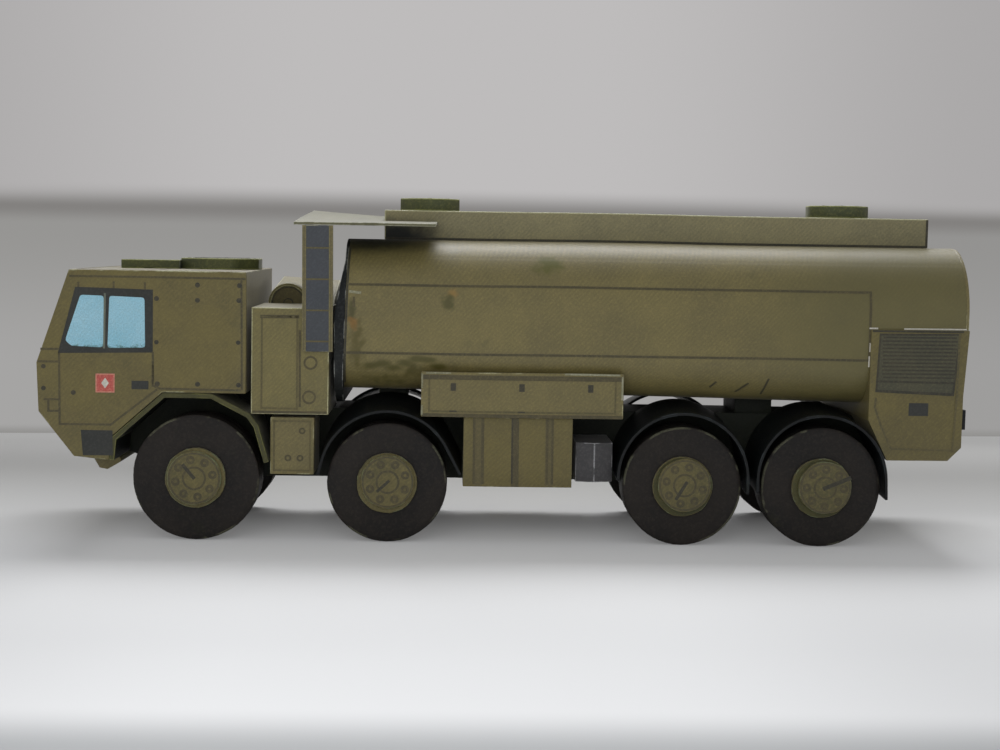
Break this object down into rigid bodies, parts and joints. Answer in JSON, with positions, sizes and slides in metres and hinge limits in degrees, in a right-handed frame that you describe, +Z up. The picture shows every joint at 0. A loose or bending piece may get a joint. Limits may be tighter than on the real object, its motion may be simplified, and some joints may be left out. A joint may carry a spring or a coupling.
{
  "type": "card scale model of a tanker truck",
  "caption": "Small card scale model of a tanker truck with a faceted cab, a long rounded tank, side lockers, a ladder with a platform and wheels that turn on through axles.",
  "frame": {"origin": "on the ground under the middle of the truck", "axes": "+X towards the front of the truck, +Y to its left side, +Z up"},
  "size_m": [0.0968, 0.025, 0.0362],
  "materials": {
    "olive_card": "matt printed card, olive drab with a fine mottled print",
    "black_card": "card painted satin black",
    "tyre_card": "layered card painted matt black-brown",
    "hub_card": "printed card disc, olive with dark nuts",
    "ladder_card": "matt printed card, blue-grey between olive rails",
    "grey_card": "matt printed card, silver grey",
    "plate_card": "pale olive card",
    "hatch_card": "matt card, darker green",
    "rod_wood": "plain round wooden stick",
    "print_dark": "dark grey printed ink on paper",
    "print_glass": "light blue printed windows on paper",
    "print_red": "small red printed marking",
    "paper_edge": "raw whitish cut edge of the card"
  },
  "bodies": {
    "root": {"cab_roof_hatch": "hatch_card", "cab_roof_vent": "hatch_card", "cab_shell": "olive_card", "filter_drum": "olive_card", "frame": "olive_card", "front_brace": "olive_card", "front_lip": "olive_card", "front_mudguard_left": "olive_card", "front_mudguard_right": "olive_card", "hatch_front": "hatch_card", "hatch_rear": "hatch_card", "ladder": "ladder_card", "lower_box_left": "olive_card", "lower_box_right": "olive_card", "mudguard_2_left": "black_card", "mudguard_2_right": "black_card", "mudguard_3_left": "black_card", "mudguard_3_right": "black_card", "mudguard_4_left": "black_card", "mudguard_4_right": "black_card", "platform": "plate_card", "rear_cabinet": "olive_card", "rear_lamps": "black_card", "side_locker_left": "olive_card", "side_locker_right": "olive_card", "small_tank_left": "grey_card", "small_tank_right": "grey_card", "storage_box_left": "olive_card", "storage_box_right": "olive_card", "tall_box_left": "olive_card", "tall_box_right": "olive_card", "tank_body": "olive_card", "tank_end_front": "olive_card", "tank_end_rear": "olive_card", "tank_saddles": "black_card", "tank_top_box": "olive_card"},
    "wheelset_1": {"axle_1": "rod_wood", "tyre_1_left": "tyre_card", "tyre_1_right": "tyre_card", "hub_1_left": "hub_card", "hub_1_right": "hub_card"},
    "wheelset_2": {"axle_2": "rod_wood", "tyre_2_left": "tyre_card", "tyre_2_right": "tyre_card", "hub_2_left": "hub_card", "hub_2_right": "hub_card"},
    "wheelset_3": {"axle_3": "rod_wood", "tyre_3_left": "tyre_card", "tyre_3_right": "tyre_card", "hub_3_left": "hub_card", "hub_3_right": "hub_card"},
    "wheelset_4": {"axle_4": "rod_wood", "tyre_4_left": "tyre_card", "tyre_4_right": "tyre_card", "hub_4_left": "hub_card", "hub_4_right": "hub_card"}
  },
  "joints": [
    {"name": "axle_1_spin", "type": "hinge", "parent": "root", "child": "wheelset_1", "pos_m": [0.03215, 0, 0.0066], "axis": [0, 1, 0], "continuous": true},
    {"name": "axle_2_spin", "type": "hinge", "parent": "root", "child": "wheelset_2", "pos_m": [0.01225, 0, 0.0063], "axis": [0, 1, 0], "continuous": true},
    {"name": "axle_3_spin", "type": "hinge", "parent": "root", "child": "wheelset_3", "pos_m": [-0.01875, 0, 0.0063], "axis": [0, 1, 0], "continuous": true},
    {"name": "axle_4_spin", "type": "hinge", "parent": "root", "child": "wheelset_4", "pos_m": [-0.0334, 0, 0.00635], "axis": [0, 1, 0], "continuous": true}
  ]
}
